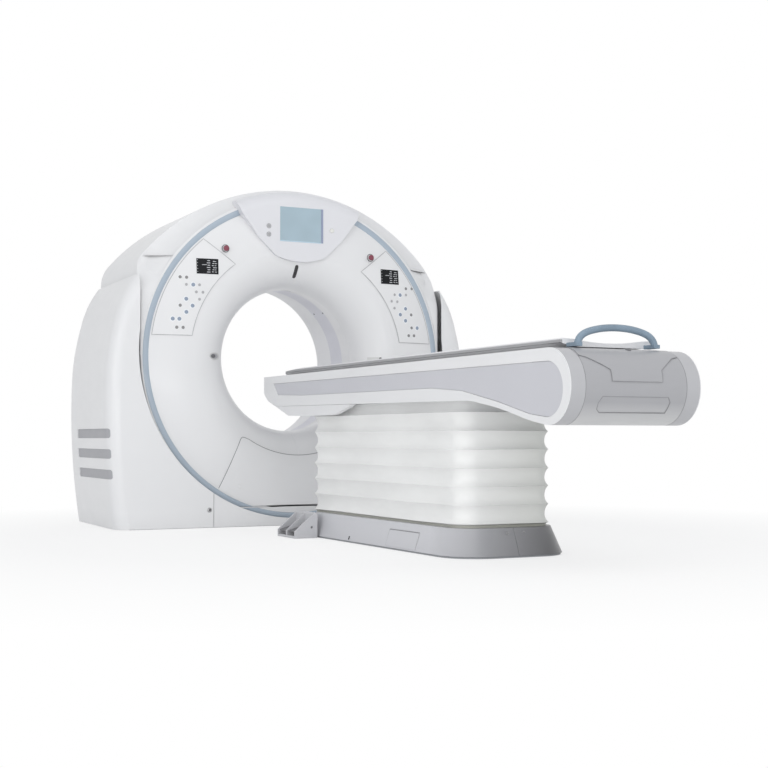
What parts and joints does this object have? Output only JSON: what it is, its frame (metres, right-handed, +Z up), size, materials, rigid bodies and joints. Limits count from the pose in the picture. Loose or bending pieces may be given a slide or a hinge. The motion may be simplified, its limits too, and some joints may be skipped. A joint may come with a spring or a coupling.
{
  "type": "ct scanner",
  "caption": "Computed tomography scanner with a tilting ring gantry between two stands and a patient couch that rises on a bellows-covered lift and slides its tabletop into the bore.",
  "frame": {"origin": "on the floor, under the point where the bore axis crosses the tilt axis", "axes": "+Y along the bore from the couch side to the rear, +X to the right seen from the couch, +Z up"},
  "size_m": [2.1612, 3.9987, 1.878],
  "materials": {
    "white_cover": "satin",
    "blue_trim": "satin",
    "window_film": "translucent film",
    "liner_white": "satin",
    "grey_panel": "satin",
    "base_grey": "satin",
    "bellows_vinyl": "matt, pleated",
    "table_white": "smooth over carbon fibre",
    "handle_blue": "soft touch",
    "painted_steel": "powder coat",
    "bearing_steel": "ground",
    "rotor_alloy": "machined",
    "tube_paint": "enamel",
    "unit_grey": "powder coat",
    "detector_black": "matt",
    "slip_brass": "turned",
    "screen_blue": "backlit",
    "display_dark": "dark",
    "button_red": "gloss",
    "grille_grey": "matt",
    "pedal_dark": "ribbed"
  },
  "bodies": {
    "stand": {"base_frame": "painted_steel", "left_upright": "painted_steel", "right_upright": "painted_steel", "left_side_cover": "white_cover", "right_side_cover": "white_cover", "lower_front_cover": "white_cover", "lower_rear_cover": "white_cover", "front_sill": "white_cover", "sill_ring": "blue_trim", "left_vent_grille": "grille_grey", "right_vent_grille": "grille_grey", "left_tilt_bearing": "bearing_steel", "right_tilt_bearing": "bearing_steel", "tilt_gearbox": "unit_grey", "power_unit": "unit_grey", "lift_base": "painted_steel", "left_skirt": "base_grey", "right_skirt": "base_grey", "access_door": "base_grey", "pedal_box": "base_grey", "bellows": "bellows_vinyl"},
    "gantry_head": {"head_frame": "painted_steel", "front_cover": "white_cover", "outer_shell": "white_cover", "trim_ring": "blue_trim", "scan_window": "window_film", "bore_liner": "liner_white", "rear_cover": "white_cover", "display_housing": "white_cover", "display_screen": "screen_blue", "left_control_panel": "white_cover", "right_control_panel": "white_cover", "left_panel_display": "display_dark", "right_panel_display": "display_dark", "service_panel": "white_cover", "main_bearing": "bearing_steel", "brush_block": "unit_grey"},
    "rotor": {"rotor_frame": "rotor_alloy", "xray_tube": "tube_paint", "collimator": "tube_paint", "slip_ring": "slip_brass", "detector_array": "detector_black", "high_voltage_unit": "unit_grey", "cooling_unit": "unit_grey"},
    "left_button": {"left_estop": "button_red"},
    "right_button": {"right_estop": "button_red"},
    "lift_stage": {"lift_middle": "painted_steel"},
    "couch": {"couch_frame": "painted_steel", "couch_deck": "white_cover", "left_couch_side": "white_cover", "right_couch_side": "white_cover", "left_side_panel": "grey_panel", "right_side_panel": "grey_panel", "belly_pan": "white_cover", "foot_barrel": "grey_panel", "barrel_lid": "grey_panel"},
    "tabletop": {"tabletop": "table_white", "handle": "handle_blue"},
    "left_foot_pedal": {"left_pedal": "pedal_dark"},
    "right_foot_pedal": {"right_pedal": "pedal_dark"}
  },
  "joints": [
    {"name": "gantry_tilt", "type": "hinge", "parent": "stand", "child": "gantry_head", "pos_m": [0, 0, 0.923], "axis": [-1, 0, 0], "range_deg": [-30, 30]},
    {"name": "rotor_spin", "type": "hinge", "parent": "gantry_head", "child": "rotor", "pos_m": [0, 0, 0.923], "axis": [0, 1, 0], "continuous": true},
    {"name": "couch_lift", "type": "slide", "parent": "stand", "child": "couch", "axis": [0, 0, 1], "range_m": [-0.4, 0.05], "deforming": ["bellows"]},
    {"name": "lift_follow", "type": "slide", "parent": "stand", "child": "lift_stage", "axis": [0, 0, 1], "range_m": [-0.2, 0.025]},
    {"name": "tabletop_slide", "type": "slide", "parent": "couch", "child": "tabletop", "axis": [0, 1, 0], "range_m": [0, 1.8]},
    {"name": "left_stop_press", "type": "slide", "parent": "gantry_head", "child": "left_button", "axis": [0, 1, 0], "range_m": [0, 0.005], "stiffness_N_per_m": 600},
    {"name": "right_stop_press", "type": "slide", "parent": "gantry_head", "child": "right_button", "axis": [0, 1, 0], "range_m": [0, 0.005], "stiffness_N_per_m": 600},
    {"name": "left_pedal_press", "type": "hinge", "parent": "stand", "child": "left_foot_pedal", "pos_m": [-0.327, 0, 0.052], "axis": [0, -1, 0], "range_deg": [0, 8], "stiffness_Nm_per_rad": 4, "springref_deg": -4.58},
    {"name": "right_pedal_press", "type": "hinge", "parent": "stand", "child": "right_foot_pedal", "pos_m": [-0.327, 0, 0.052], "axis": [0, -1, 0], "range_deg": [0, 8], "stiffness_Nm_per_rad": 4, "springref_deg": -4.58}
  ],
  "couplings": [
    {"joint": "lift_follow", "follows": "couch_lift", "ratio": 0.5}
  ]
}
